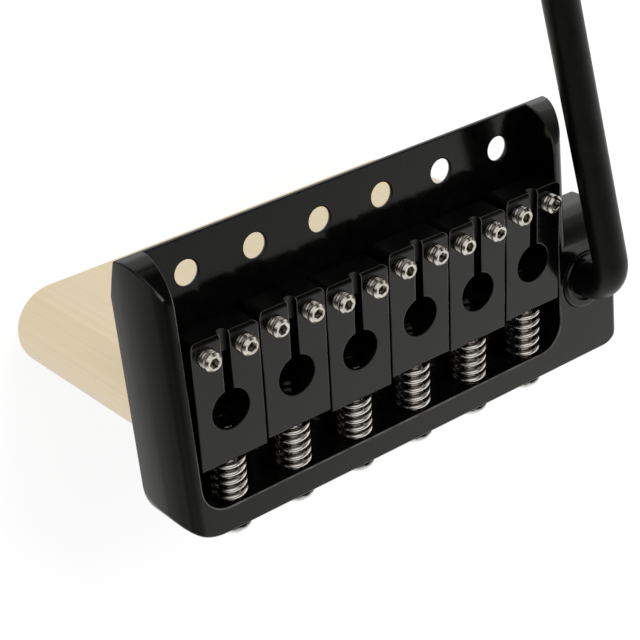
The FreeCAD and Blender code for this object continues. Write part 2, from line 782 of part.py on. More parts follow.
def arm_sleeve():
    """Nylon liner that grips the arm."""
    body = new_body("arm_sleeve")
    section = new_sketch(body, "sleeve_section", "XZ_Plane")
    inside = "(arm_diameter / 2 + running_clearance)"
    add_outline(section, [
        (inside, "rim_height"),
        (inside, "-floor_thickness"),
        (f"{inside} + sleeve_wall", "-floor_thickness"),
        (f"{inside} + sleeve_wall", "rim_height"),
    ])
    turn(body, section, "liner", "PartDesign::Revolution")
    at_arm(body)


def tremolo_arm():
    """Round rod: a foot in the socket, one bend and a long straight reach over the strings."""
    body = new_body("tremolo_arm")
    path = new_sketch(body, "arm_path", "YZ_Plane")
    corners = [
        ("0", "-arm_foot"),
        ("0", "arm_height - arm_bend"),
        ("arm_bend", "arm_height"),
        ("arm_reach", "arm_height"),
    ]
    places = [FreeCAD.Vector(worth(y), worth(z), 0) for y, z in corners]
    upright = path.addGeometry(Part.LineSegment(places[0], places[1]))
    bend = path.addGeometry(arc_between(places[1], places[2], worth("arm_bend"), -1))
    reach = path.addGeometry(Part.LineSegment(places[2], places[3]))
    path.addConstraint(Sketcher.Constraint("Coincident", upright, 2, bend, 2))
    path.addConstraint(Sketcher.Constraint("Coincident", bend, 1, reach, 1))
    ends = ((upright, 1), (upright, 2), (reach, 1), (reach, 2))
    for (y, z), end in zip(corners, ends):
        fix(path, "DistanceX", y, -1, 1, *end)
        fix(path, "DistanceY", z, -1, 1, *end)
    fix(path, "Radius", "arm_bend", bend)
    section = new_sketch(body, "arm_section", "XY_Plane", "-arm_foot")
    add_circle(section, "0", "0", "arm_diameter")
    document.recompute()
    rod = body.newObject("PartDesign::AdditivePipe", "rod")
    rod.Profile = section
    rod.Spine = (path, [])
    at_arm(body)


def arm_tip():
    """Moulded cap pushed over the end of the rod."""
    body = new_body("arm_tip")
    section = new_sketch(body, "tip_section", "YZ_Plane")
    bore = "(arm_diameter / 2 + running_clearance)"
    belly = "(tip_diameter / 2)"
    add_outline(section, [
        ("0", bore),
        ("tip_cover + running_clearance", bore),
        ("tip_cover + running_clearance", "0"),
        ("tip_length", "0", belly, 1),
        (f"tip_length - {belly}", belly),
        ("0", "tip_neck / 2"),
    ])
    turn(body, section, "cap", "PartDesign::Revolution", "H_Axis")
    at_arm(body)
    start = FreeCAD.Vector(0, worth("arm_reach - tip_cover"), worth("arm_height"))
    body.Placement = body.Placement.multiply(FreeCAD.Placement(start, FreeCAD.Rotation()))


def check_all():
    """Stop if any object failed to build or any sub-part has no sound solid."""
    document.recompute()
    for item in document.Objects:
        if {"Invalid", "Error"} & set(item.State):
            raise RuntimeError(f"{item.Label} failed: {item.State}")
    for node in nodes:
        if node.Shape.isNull() or not node.Shape.isValid() or not node.Shape.Solids:
            raise RuntimeError(f"{node.Label} has no sound solid")


base_plate()
sustain_block()
block_screws()
for number in range(STRINGS):
    saddle(number)
    height_screws(number)
    intonation_screw(number)
    intonation_spring(number)
arm_socket()
arm_sleeve()
tremolo_arm()
arm_tip()
check_all()
os.makedirs("parts", exist_ok=True)
for node in nodes:
    node.Shape.exportStep(f"parts/{node.Label}.step")
    print(f"{node.Label}: {len(node.Shape.Solids)} solids, {node.Shape.Volume:.1f} mm3")
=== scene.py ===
"""Looks of the guitar tremolo bridge: finishes, screw threads, springs, light and camera.

Lengths are in metres, but for the camera's sensor and lens, which are in millimetres.
"""
import bpy
import json
import math
from mathutils import Matrix, Vector


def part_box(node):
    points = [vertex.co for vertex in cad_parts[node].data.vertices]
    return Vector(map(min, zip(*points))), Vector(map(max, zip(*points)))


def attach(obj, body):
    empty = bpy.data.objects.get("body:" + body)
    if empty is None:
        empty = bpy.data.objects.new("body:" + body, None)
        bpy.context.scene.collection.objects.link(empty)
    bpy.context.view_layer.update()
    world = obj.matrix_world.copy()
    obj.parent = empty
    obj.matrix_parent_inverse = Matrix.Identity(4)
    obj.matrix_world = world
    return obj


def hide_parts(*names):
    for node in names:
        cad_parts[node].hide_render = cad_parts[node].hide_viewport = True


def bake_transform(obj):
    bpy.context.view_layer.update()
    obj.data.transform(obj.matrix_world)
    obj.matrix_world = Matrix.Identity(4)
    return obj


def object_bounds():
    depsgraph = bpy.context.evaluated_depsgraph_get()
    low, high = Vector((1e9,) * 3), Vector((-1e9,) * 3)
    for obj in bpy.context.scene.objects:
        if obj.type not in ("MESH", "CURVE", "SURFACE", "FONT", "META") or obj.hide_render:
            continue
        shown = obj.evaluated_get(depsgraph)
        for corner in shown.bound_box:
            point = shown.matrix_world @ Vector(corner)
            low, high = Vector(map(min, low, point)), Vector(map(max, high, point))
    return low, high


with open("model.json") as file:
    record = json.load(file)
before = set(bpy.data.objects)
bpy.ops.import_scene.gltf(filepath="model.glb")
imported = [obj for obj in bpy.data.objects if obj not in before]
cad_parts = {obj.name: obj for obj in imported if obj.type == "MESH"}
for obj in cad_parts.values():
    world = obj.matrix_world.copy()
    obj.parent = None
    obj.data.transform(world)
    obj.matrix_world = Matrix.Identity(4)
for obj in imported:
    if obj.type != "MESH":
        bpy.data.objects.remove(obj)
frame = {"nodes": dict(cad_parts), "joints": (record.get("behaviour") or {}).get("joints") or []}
cad_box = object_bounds()

MM = 0.001
FULL_TURN = 2 * math.pi
STRINGS = range(1, 7)
JOINTS = {joint["name"]: joint for joint in frame["joints"]}
STRING_PITCH = JOINTS["saddle_lift_2"]["pos_m"][0] - JOINTS["saddle_lift_1"]["pos_m"][0]

# Threads and points of the screws
THREAD_PITCH = 0.5 * MM
THREAD_DEPTH = 0.17 * MM
THREAD_STEPS = 8
SCREW_POINT = 0.4 * MM

# Set screws: a cup at the foot, and a hexagon socket with a flared mouth and a cone at its bottom. The second
# one of a saddle is turned by an angle in radians
SET_SCREW_SIDES = 48
SET_SCREW_TIP = 0.6 * MM
SET_SCREW_EDGE = 0.3 * MM
CUP_DEPTH = 0.25 * MM
SOCKET_FLATS = 1.2 * MM
SOCKET_DEPTH = 1.2 * MM
SOCKET_FLARE = 0.1 * MM
FLARE_DEPTH = 0.08 * MM
CONE_MIDDLE = 0.2 * MM
CONE_DEPTH = 0.3 * MM
SECOND_SCREW_TURN = 0.4

# Intonation screws, with a turn in radians, and block screws
SCREW_RADIUS = 1.5 * MM
SCREW_NECK = 0.3 * MM
HEAD_SEAT = -2.15 * MM
HEAD_RIM = 0.4 * MM
HEAD_EDGE = 0.12 * MM
HEAD_TURN_PER_STRING = 0.9
BLOCK_SCREW_RADIUS = 2 * MM
BLOCK_SCREW_EDGE = 0.08 * MM
BLOCK_SCREW_POINT_SHARE = 0.8

# Cross recess: the head's rings are shares of the way from recess to rim, and the steps down into the recess
# are shares of its width and of its depth
CROSS_REACH = 1.45 * MM
CROSS_HALF_WIDTH = 0.38 * MM
CROSS_DEPTH = 1.0 * MM
CROSS_MOUTH = 1.06
PAST_CORNER = 1.6
HEAD_RINGS = (1, 0.9, 0.75, 0.55, 0.35, 0.15, 0)
RECESS_STEPS = ((0.97, 0.08), (0.8, 0.6), (0.55, 0.92))

# Springs: the end turns lie closer, and the wire's ends are thinner
WIRE_RADIUS = 0.325 * MM
WIRE_SIDES = 14
WIRE_END_SHARE = 0.75
SPRING_TURNS = 5
COIL_STEPS = 48
END_PACE = 0.55
MIDDLE_GAIN = 0.45

# Edges of the CAD pieces
WELD_REACH = 0.001 * MM
FLAT_ANGLE = math.radians(0.1)
BROKEN_EDGE_ANGLE = math.radians(35)
SMOOTH_ANGLE = math.radians(25)
EDGE_SEGMENTS = 3

# Finishes: the part of a noise that is used, its scales per metre, heights and strengths of relief, shares
NOISE_MIDDLE = (0.3, 0.7)
SHADER_SAMPLES = 8
COAT_TONES = 350
COAT_GLOSS = 900
COAT_GRAIN = 1800
COAT_RELIEF = 0.006 * MM
COAT_BUMP = 0.35
COAT_DARK_SHARE = 0.4
COAT_BLUE_SHARE = 0.9
WARM_SHINE = (1, 1, 0.94)
DULL_ROUGHNESS = 0.45
FINE_BUMP = 0.15
FINE_RELIEF = 0.004 * MM

# Painted highlights on the saddles' front edges and string grooves, a lighter grey on the tray's upper edges
# that is partly paint thinned by hands and partly a painted highlight, and painted shade on the set screws'
# feet: colours, widths, and the heights between which each comes in
WORN_AND_HIGHLIT_GREY = (0.11, 0.107, 0.1)
PAINTED_SHADE_BLACK = (0.01, 0.009, 0.008)
SADDLE_EDGE = 0.25 * MM
SADDLE_EDGE_HEIGHTS = (6.2 * MM, 6.6 * MM)
GROOVE_HALF_WIDTH = 0.75 * MM
GROOVE_LENGTH = 3.4 * MM
GROOVE_HIGHLIGHT = 0.28
GROOVE_HEIGHTS = (5 * MM, 5.4 * MM)
TRAY_EDGE_HEIGHTS = (4.6 * MM, 5.2 * MM)
FOOT_SHADE_HEIGHTS = (2.8 * MM, 4.2 * MM)

# Stage: the brightness that gloss sees follows how far a view leans towards a way, by stops
FLOOR_GAP = 0.01 * MM
FLOOR_HALF_SIDE = 8.0
FLOOR_GREY = 0.16
FLOOR_GLOW = 0.89
FADE_WAY = (-1, 0.6, 0)
FADE_DISTANCE = 0.034
FADE_NEAREST = 0.01
FADE_START = 0.85
FADE_LOWEST = 0.38
HOOD_WAY = (-0.3, 0.5, 0.81)
HOOD_STOPS = ((0.13, 1), (0.216, 0.62), (0.45, 0.33), (0.6, 0.04), (0.74, 0.04), (0.88, 0.7), (1, 0.9))
LEFT_WAY = (-0.95, -0.2, 0.2)
LEFT_STOPS = ((0.7, 1), (0.93, 0.4))
SOFT_LIGHT = 0.4
SENSOR_WIDTH = 36
CLIP_START = 0.01


# Nodes that the materials share

def grey(level):
    """Colour with three equal parts."""
    return (level, level, level)


def feed(tree, place, value):
    """Give an input its value: the output of a node, a colour or a number."""
    if isinstance(value, bpy.types.NodeSocket):
        tree.links.new(value, place)
    elif place.type == "RGBA":
        place.default_value = (*value, 1)
    else:
        place.default_value = value


def calculated(tree, operation, *values):
    """Result of a math operation on values, each of them a number or an output."""
    node = tree.nodes.new("ShaderNodeMath")
    node.operation = operation
    for place, value in zip(node.inputs, values):
        feed(tree, place, value)
    return node.outputs["Value"]


def lean(tree, first, second):
    """How far one direction leans towards another."""
    node = tree.nodes.new("ShaderNodeVectorMath")
    node.operation = "DOT_PRODUCT"
    feed(tree, node.inputs[0], first)
    feed(tree, node.inputs[1], second)
    return node.outputs["Value"]


def ranged(tree, source, start, end, low=0, high=1, curve="LINEAR"):
    """Map a value between start and end onto the range from low to high."""
    node = tree.nodes.new("ShaderNodeMapRange")
    node.interpolation_type = curve
    feed(tree, node.inputs["Value"], source)
    feed(tree, node.inputs["From Min"], start)
    feed(tree, node.inputs["From Max"], end)
    feed(tree, node.inputs["To Min"], low)
    feed(tree, node.inputs["To Max"], high)
    return node.outputs["Result"]


def mixed(tree, share, first, second, blend="MIX"):
    """Colour that goes from a first one to a second one by a share."""
    node = tree.nodes.new("ShaderNodeMixRGB")
    node.blend_type = blend
    feed(tree, node.inputs["Fac"], share)
    feed(tree, node.inputs["Color1"], first)
    feed(tree, node.inputs["Color2"], second)
    return node.outputs["Color"]


def ramp(tree, source, stops):
    """Colour that follows a value by stops, each of them a position and a colour."""
    node = tree.nodes.new("ShaderNodeValToRGB")
    marks = node.color_ramp.elements
    for mark, (position, colour) in zip(marks, (stops[0], stops[-1])):
        mark.position = position
        mark.color = (*colour, 1)
    for position, colour in stops[1:-1]:
        marks.new(position).color = (*colour, 1)
    feed(tree, node.inputs["Fac"], source)
    return node.outputs["Color"]


def coordinate(tree, kind, axis):
    """One part of a point's position or normal in the object's own axes."""
    place = tree.nodes.new("ShaderNodeTexCoord")
    parts = tree.nodes.new("ShaderNodeSeparateXYZ")
    tree.links.new(place.outputs[kind], parts.inputs["Vector"])
    return parts.outputs[axis]


def ray(tree, kind):
    """1 for rays of a kind, 0 for the rest."""
    return tree.nodes.new("ShaderNodeLightPath").outputs[kind]


def noise(tree, scale, stretch=(1, 1, 1), detail=3.0):
    """Noise in the object's own coordinates, at a scale per metre."""
    place = tree.nodes.new("ShaderNodeTexCoord")
    mapping = tree.nodes.new("ShaderNodeMapping")
    mapping.inputs["Scale"].default_value = stretch
    texture = tree.nodes.new("ShaderNodeTexNoise")
    texture.inputs["Scale"].default_value = scale
    texture.inputs["Detail"].default_value = detail
    tree.links.new(place.outputs["Object"], mapping.inputs["Vector"])
    tree.links.new(mapping.outputs["Vector"], texture.inputs["Vector"])
    return texture.outputs["Fac"]


def spread(tree, source, low, high):
    """Map the middle of a noise onto a range of values."""
    return ranged(tree, source, *NOISE_MIDDLE, low, high)


def tint(tree, source, dark, light):
    """Turn the middle of a noise into a colour between two shades."""
    return ramp(tree, source, tuple(zip(NOISE_MIDDLE, (dark, light))))


def soft_normal(tree, radius):
    """Normal of a surface with its edges rounded to a radius."""
    node = tree.nodes.new("ShaderNodeBevel")
    node.samples = SHADER_SAMPLES
    node.inputs["Radius"].default_value = radius
    return node.outputs["Normal"]


def bumpy(tree, shader, source, strength, height, edge=0.0):
    """Give a surface relief of a height in metres and, where there is an edge width, soft edges."""
    bump = tree.nodes.new("ShaderNodeBump")
    bump.inputs["Strength"].default_value = strength
    bump.inputs["Distance"].default_value = height
    tree.links.new(source, bump.inputs["Height"])
    tree.links.new(bump.outputs["Normal"], shader.inputs["Normal"])
    if edge:
        tree.links.new(soft_normal(tree, edge), bump.inputs["Normal"])


def openness(tree, reach):
    """Value that rises from 0, where surfaces close in within a reach, to 1, where they lie open."""
    closed = 0.45
    wide_open = 0.95
    shade = tree.nodes.new("ShaderNodeAmbientOcclusion")
    shade.samples = SHADER_SAMPLES
    shade.inputs["Distance"].default_value = reach
    return ranged(tree, shade.outputs["AO"], closed, wide_open)


def edge_share(tree, reach):
    """Value of 1 along the edges of an object, falling to 0 within a reach of them."""
    flat = 0.99
    full_edge = 0.85
    place = tree.nodes.new("ShaderNodeNewGeometry")
    return ranged(tree, lean(tree, soft_normal(tree, reach), place.outputs["Normal"]), flat, full_edge)


def upward(tree, side, top):
    """Value that goes from one number on an object's sides to another where it faces up."""
    steep = 0.1
    level = 0.6
    return ranged(tree, coordinate(tree, "Normal", "Z"), steep, level, side, top)


def raised(tree, low, high):
    """Value that rises from 0 to 1 between two heights on an object."""
    return ranged(tree, coordinate(tree, "Object", "Z"), low, high)


# Wear

def lighten_as_worn_and_highlit(tree, colour, share, heights):
    """Let a colour go over into a lighter grey by a share, above a height: a painted highlight, and on the
    tray's edges also paint that hands have thinned.
    """
    return mixed(tree, calculated(tree, "MULTIPLY", share, raised(tree, *heights)), colour, WORN_AND_HIGHLIT_GREY)


def groove_share(tree):
    """Value above 0 in the string grooves: at the middle of each string's pitch, at the front of a saddle."""
    pitches = calculated(tree, "DIVIDE", coordinate(tree, "Object", "X"), STRING_PITCH)
    across = calculated(tree, "FRACT", pitches)
    aside = calculated(tree, "ABSOLUTE", calculated(tree, "SUBTRACT", across, 0.5))
    inside = calculated(tree, "LESS_THAN", aside, GROOVE_HALF_WIDTH / STRING_PITCH)
    rear_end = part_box("saddle_1")[1].y - GROOVE_LENGTH
    forward = calculated(tree, "GREATER_THAN", coordinate(tree, "Object", "Y"), rear_end)
    groove = calculated(tree, "MULTIPLY", inside, forward)
    return calculated(tree, "MULTIPLY", groove, upward(tree, 0, GROOVE_HIGHLIGHT))


def saddle_highlights(tree, colour):
    """Paint a highlight on a saddle's front edges and in its string groove, as a lighter grey."""
    colour = lighten_as_worn_and_highlit(tree, colour, edge_share(tree, SADDLE_EDGE), SADDLE_EDGE_HEIGHTS)
    return lighten_as_worn_and_highlit(tree, colour, groove_share(tree), GROOVE_HEIGHTS)


# Materials

def new_surface(name, metallic):
    """Start a procedural material, and give it with its node tree and its shader."""
    made = bpy.data.materials.new(name)
    made.use_nodes = True
    tree = made.node_tree
    shader = tree.nodes["Principled BSDF"]
    shader.inputs["Metallic"].default_value = metallic
    return made, tree, shader


def black_finish(name, shade, shine, roughness, grain, relief, edge=0.0, shaded_side_shine=0.0, painted_highlights=None):
    """Black coat with a fine orange peel. It can have soft edges, a weaker shine on its sides as painted
    shade, and painted highlights.
    """
    made, tree, shader = new_surface(name, 0)
    shader.inputs["Specular IOR Level"].default_value = shine
    shader.inputs["Specular Tint"].default_value = (*WARM_SHINE, 1)
    warm_black = (shade, shade, COAT_BLUE_SHARE * shade)
    colour = tint(tree, noise(tree, COAT_TONES), grey(COAT_DARK_SHARE * shade), warm_black)
    # Painted highlights on edges and in grooves go into the colour here.
    if painted_highlights:
        colour = painted_highlights(tree, colour)
    tree.links.new(colour, shader.inputs["Base Color"])
    gloss = spread(tree, noise(tree, COAT_GLOSS), *roughness)
    # Painted shade: the sides get a weaker and rougher shine than the faces that look up.
    if shaded_side_shine:
        tree.links.new(upward(tree, shaded_side_shine, shine), shader.inputs["Specular IOR Level"])
        gloss = calculated(tree, "MAXIMUM", upward(tree, DULL_ROUGHNESS, 0), gloss)
    tree.links.new(gloss, shader.inputs["Roughness"])
    bumpy(tree, shader, noise(tree, grain), COAT_BUMP, relief, edge)
    return made


def worn_and_highlit_edges():
    """Black coat on the upper edges of the tray that turns a lighter grey in patches: partly paint that hands
    have thinned, partly a painted highlight along the edges.
    """
    made, tree, shader = new_surface("worn_and_highlit_edges", 0)
    coat = tint(tree, noise(tree, COAT_TONES), dark=grey(0.001), light=grey(0.002))
    patches = spread(tree, noise(tree, scale=450), low=0.35, high=1)
    gloss = spread(tree, noise(tree, COAT_GLOSS), low=0.25, high=0.4)
    tree.links.new(lighten_as_worn_and_highlit(tree, coat, patches, TRAY_EDGE_HEIGHTS), shader.inputs["Base Color"])
    tree.links.new(gloss, shader.inputs["Roughness"])
    bumpy(tree, shader, noise(tree, COAT_GRAIN), COAT_BUMP, COAT_RELIEF)
    return made


def block_metal():
    """Pale champagne plating over drawn bar, with faint lines along its height and soft edges."""
    made, tree, shader = new_surface("champagne_plating", 1)
    lines = noise(tree, scale=2400, stretch=(1, 1, 0.004), detail=4)
    colour = tint(tree, lines, dark=(0.713, 0.603, 0.41), light=(0.747, 0.637, 0.44))
    gloss = spread(tree, noise(tree, scale=2000, stretch=(1, 1, 0.008)), low=0.3, high=0.38)
    tree.links.new(colour, shader.inputs["Base Color"])
    tree.links.new(gloss, shader.inputs["Roughness"])
    bumpy(tree, shader, noise(tree, scale=3000, stretch=(1, 1, 0.005)), FINE_BUMP, FINE_RELIEF, edge=0.2 * MM)
    return made


def bright_metal(name, dark, light, roughness, hollow_shade, reach, foot_shade=None):
    """Plated steel with changes of tone and fine scratches, and painted shade that darkens its hollows. It
    can have a foot painted dark as the shade under a saddle.
    """
    made, tree, shader = new_surface(name, 1)
    colour = tint(tree, noise(tree, scale=700), dark, light)
    # Painted shade: below a height the metal goes nearly black, as in the shade under the saddle.
    if foot_shade:
        colour = mixed(tree, raised(tree, *foot_shade), PAINTED_SHADE_BLACK, colour)
    gloss = spread(tree, noise(tree, scale=1600), *roughness)
    # Painted shade: where surfaces close in, as in thread valleys, coil gaps and sockets, the colour goes
    # towards the hollow shade.
    tree.links.new(mixed(tree, openness(tree, reach), hollow_shade, colour), shader.inputs["Base Color"])
    tree.links.new(gloss, shader.inputs["Roughness"])
    bumpy(tree, shader, noise(tree, scale=4000, stretch=(1, 0.2, 1)), FINE_BUMP, FINE_RELIEF)
    return made


def plastic(name, dark, light, roughness):
    """Moulded plastic with a fine grain."""
    made, tree, shader = new_surface(name, 0)
    gloss = spread(tree, noise(tree, scale=1200), *roughness)
    tree.links.new(tint(tree, noise(tree, scale=400), dark, light), shader.inputs["Base Color"])
    tree.links.new(gloss, shader.inputs["Roughness"])
    bumpy(tree, shader, noise(tree, scale=3000), strength=0.3, height=0.01 * MM)
    return made


CAST_BLACK = black_finish("cast_black", shade=0.002, shine=0.42, roughness=(0.09, 0.16), grain=COAT_GRAIN,
                          relief=COAT_RELIEF)
SADDLE_BLACK = black_finish("saddle_black", shade=0.002, shine=0.38, roughness=(0.08, 0.15), grain=3200,
                            relief=0.002 * MM, edge=SADDLE_EDGE, shaded_side_shine=0.02, painted_highlights=saddle_highlights)
ARM_BLACK = black_finish("arm_black", shade=0.005, shine=0.16, roughness=(0.3, 0.4), grain=2600,
                         relief=0.003 * MM)
WORN_AND_HIGHLIT_BLACK = worn_and_highlit_edges()
BLOCK_METAL = block_metal()
SCREW_STEEL = bright_metal("screw_steel", dark=(0.62, 0.59, 0.54), light=(0.8, 0.77, 0.72),
                           roughness=(0.1, 0.24), hollow_shade=(0.07, 0.05, 0.04), reach=0.6 * MM)
# The set screws' feet and hollows take a painted shade of near black.
SET_SCREW_STEEL = bright_metal("set_screw_steel", dark=(0.52, 0.485, 0.42), light=(0.72, 0.68, 0.605),
                               roughness=(0.1, 0.24), hollow_shade=PAINTED_SHADE_BLACK, reach=0.6 * MM, foot_shade=FOOT_SHADE_HEIGHTS)
HEAD_STEEL = bright_metal("head_steel", dark=(0.55, 0.54, 0.52), light=(0.72, 0.71, 0.69),
                          roughness=(0.2, 0.34), hollow_shade=(0.2, 0.17, 0.15), reach=0.3 * MM)
SPRING_STEEL = bright_metal("spring_steel", dark=(0.7, 0.67, 0.62), light=(0.88, 0.85, 0.8),
                            roughness=(0.12, 0.26), hollow_shade=(0.16, 0.13, 0.11), reach=0.3 * MM)
NYLON = plastic("nylon", dark=grey(0.01), light=grey(0.02), roughness=(0.4, 0.55))
TIP_PLASTIC = plastic("tip_plastic", dark=grey(0.012), light=grey(0.022), roughness=(0.25, 0.38))


# The CAD nodes that stay, with their edges broken as on the real pieces

def outward_edge_marker():
    """Node group that shades rounds smooth, keeps edges sharp and gives outward edges a full bevel weight."""
    tree = bpy.data.node_groups.new("mark_outward_edges", "GeometryNodeTree")
    tree.interface.new_socket("Geometry", in_out="INPUT", socket_type="NodeSocketGeometry")
    tree.interface.new_socket("Geometry", in_out="OUTPUT", socket_type="NodeSocketGeometry")
    start = tree.nodes.new("NodeGroupInput")
    end = tree.nodes.new("NodeGroupOutput")
    angle = tree.nodes.new("GeometryNodeInputMeshEdgeAngle")
    outward = tree.nodes.new("FunctionNodeCompare")
    outward.operation = "GREATER_THAN"
    outward.inputs[1].default_value = BROKEN_EDGE_ANGLE
    store = tree.nodes.new("GeometryNodeStoreNamedAttribute")
    store.data_type = "FLOAT"
    store.domain = "EDGE"
    store.inputs["Name"].default_value = "bevel_weight_edge"
    gentle = tree.nodes.new("FunctionNodeCompare")
    gentle.operation = "LESS_THAN"
    gentle.inputs[1].default_value = SMOOTH_ANGLE
    smooth_faces = tree.nodes.new("GeometryNodeSetShadeSmooth")
    smooth_edges = tree.nodes.new("GeometryNodeSetShadeSmooth")
    smooth_edges.domain = "EDGE"
    tree.links.new(angle.outputs["Signed Angle"], outward.inputs[0])
    tree.links.new(outward.outputs["Result"], store.inputs["Value"])
    tree.links.new(angle.outputs["Unsigned Angle"], gentle.inputs[0])
    tree.links.new(gentle.outputs["Result"], smooth_edges.inputs["Shade Smooth"])
    tree.links.new(start.outputs[0], smooth_faces.inputs["Geometry"])
    tree.links.new(smooth_faces.outputs["Geometry"], smooth_edges.inputs["Geometry"])
    tree.links.new(smooth_edges.outputs["Geometry"], store.inputs["Geometry"])
    tree.links.new(store.outputs["Geometry"], end.inputs[0])
    return tree


OUTWARD_EDGES = outward_edge_marker()


def dress(node, material, edge=0.0, worn_and_highlit_edge=None):
    """Give a CAD node its material and, where it has an edge width, softened edges, which can take a lighter
    edge material: partly paint thinned by hands, partly a painted highlight.
    """
    piece = frame["nodes"][node]
    for place in piece.material_slots:
        place.material = material
    if edge:
        weld = piece.modifiers.new("weld", "WELD")
        weld.merge_threshold = WELD_REACH
        flat = piece.modifiers.new("flat", "DECIMATE")
        flat.decimate_type = "DISSOLVE"
        flat.angle_limit = FLAT_ANGLE
        mark = piece.modifiers.new("outward", "NODES")
        mark.node_group = OUTWARD_EDGES
        soft = piece.modifiers.new("edges", "BEVEL")
        soft.width = edge
        soft.segments = EDGE_SEGMENTS
        soft.limit_method = "WEIGHT"
        soft.use_clamp_overlap = False
        # The bevel's faces can take a lighter edge material: a painted highlight, partly standing for paint
        # thinned by hands.
        if worn_and_highlit_edge:
            piece.data.materials.append(worn_and_highlit_edge)
            soft.material = len(piece.material_slots) - 1
        even = piece.modifiers.new("normals", "WEIGHTED_NORMAL")
        even.keep_sharp = True


dress("base_plate", CAST_BLACK, edge=0.18 * MM, worn_and_highlit_edge=WORN_AND_HIGHLIT_BLACK)
dress("sustain_block", BLOCK_METAL)
dress("tremolo_arm", ARM_BLACK, edge=0.3 * MM)
dress("arm_tip", TIP_PLASTIC, edge=0.2 * MM)
dress("arm_socket", CAST_BLACK, edge=0.1 * MM)
dress("arm_sleeve", NYLON)
for string in STRINGS:
    dress(f"saddle_{string}", SADDLE_BLACK)


# Pieces drawn in more detail than the solids that they replace

def new_piece(name, points, faces, material, body, slot, smooth_angle=40):
    """Make a mesh piece, smooth but for edges over an angle in degrees, that can ride on a body."""
    mesh = bpy.data.meshes.new(name)
    mesh.from_pydata(points, [], faces)
    mesh.validate()
    mesh.shade_smooth()
    mesh.set_sharp_from_angle(angle=math.radians(smooth_angle))
    mesh.materials.append(material)
    piece = bpy.data.objects.new(name, mesh)
    bpy.context.scene.collection.objects.link(piece)
    if body:
        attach(piece, body)
    return piece


def lofted(rings, first_end, last_end):
    """Join rings of equally many points, and close each end on a point."""
    count = len(rings[0])
    points = [Vector(point) for row in rings for point in row]
    faces = []
    for row in range(len(rings) - 1):
        for place in range(count):
            after = (place + 1) % count
            faces.append((row * count + place, row * count + after,
                          (row + 1) * count + after, (row + 1) * count + place))
    points += [Vector(first_end), Vector(last_end)]
    last_row = (len(rings) - 1) * count
    for place in range(count):
        after = (place + 1) % count
        faces.append((len(points) - 2, after, place))
        faces.append((len(points) - 1, last_row + place, last_row + after))
    return points, faces


def joined(pieces):
    """Put several sets of points and faces into one."""
    points, faces = [], []
    for more_points, more_faces in pieces:
        start = len(points)
        points += more_points
        faces += [tuple(start + index for index in face) for face in more_faces]
    return points, faces


def moved(piece, matrix):
    """Move the points of a piece."""
    points, faces = piece
    return [matrix @ point for point in points], faces


def even_angles(count):
    """Equal steps round a circle."""
    return [FULL_TURN * step / count for step in range(count)]


def polar(angle, radius, height):
    """A point about Z."""
    return radius * math.cos(angle), radius * math.sin(angle), height


def ring(angles, height, radius):
    """A ring of points about Z."""
    return [polar(angle, radius, height) for angle in angles]


def thread_rings(angles, low, high, outside):
    """Rings of a right-hand thread about Z, running out at both ends over one turn."""
    count = round((high - low) / THREAD_PITCH * THREAD_STEPS)
    rings = []
    for step in range(count + 1):
        height = low + (high - low) * step / count
        full = min(1, (height - low) / THREAD_PITCH, (high - height) / THREAD_PITCH)
        row = []
        for angle in angles:
            phase = (height / THREAD_PITCH - angle / FULL_TURN) % 1
            valley = (1 - math.cos(FULL_TURN * phase)) / 2
            row.append(polar(angle, outside - THREAD_DEPTH * full * valley, height))
        rings.append(row)
    return rings


def hexagon_ring(angles, height, flare=0.0, share=1.0):
    """A ring of points about Z on the socket's hexagon, made wider by a flare or smaller by a share."""
    points = []
    for angle in angles:
        wall = SOCKET_FLATS / 2 / math.cos(angle % (math.pi / 3) - math.pi / 6)
        points.append(polar(angle, (wall + flare) * share, height))
    return points


def set_screw(length, outside):
    """Socket set screw standing on the origin: cup tip, thread and hexagon socket."""
    angles = even_angles(SET_SCREW_SIDES)
    rings = [ring(angles, 0, outside - SET_SCREW_TIP)]
    rings += thread_rings(angles, SET_SCREW_TIP, length - SET_SCREW_EDGE, outside)
    rings += [ring(angles, length, outside - SET_SCREW_EDGE),
              hexagon_ring(angles, length, flare=SOCKET_FLARE),
              hexagon_ring(angles, length - FLARE_DEPTH),
              hexagon_ring(angles, length - SOCKET_DEPTH),
              hexagon_ring(angles, length - SOCKET_DEPTH - CONE_MIDDLE, share=0.5)]
    return lofted(rings, (0, 0, CUP_DEPTH), (0, 0, length - SOCKET_DEPTH - CONE_DEPTH))


def cross_angles():
    """Angles round a cross recess, with one on each of its corners."""
    tip_corner = math.atan2(CROSS_HALF_WIDTH, CROSS_REACH)
    quarter = [0, tip_corner / 2, tip_corner, tip_corner * PAST_CORNER, math.pi / 6, math.pi / 4]
    quarter += [math.pi / 2 - angle for angle in reversed(quarter[1:-1])]
    return [angle + math.pi / 2 * turn for turn in range(4) for angle in quarter]


def cross(angle):
    """Distance from the middle of a cross recess to its wall."""
    least_sine = 1e-9
    local = angle % (math.pi / 2)
    local = min(local, math.pi / 2 - local)
    return min(CROSS_REACH / math.cos(local), CROSS_HALF_WIDTH / max(math.sin(local), least_sine))


def recess_rings(angles, dome, rim):
    """Rings from the rim of a head in over its dome and down into its cross recess."""
    rings = []
    for share in HEAD_RINGS:
        row = []
        for angle in angles:
            inner = cross(angle) * CROSS_MOUTH
            radius = inner + (rim - inner) * share
            row.append(polar(angle, radius, dome(radius)))
        rings.append(row)
    for share, depth in RECESS_STEPS:
        row = []
        for angle in angles:
            radius = share * cross(angle)
            row.append(polar(angle, radius, dome(radius) - CROSS_DEPTH * depth))
        rings.append(row)
    return rings


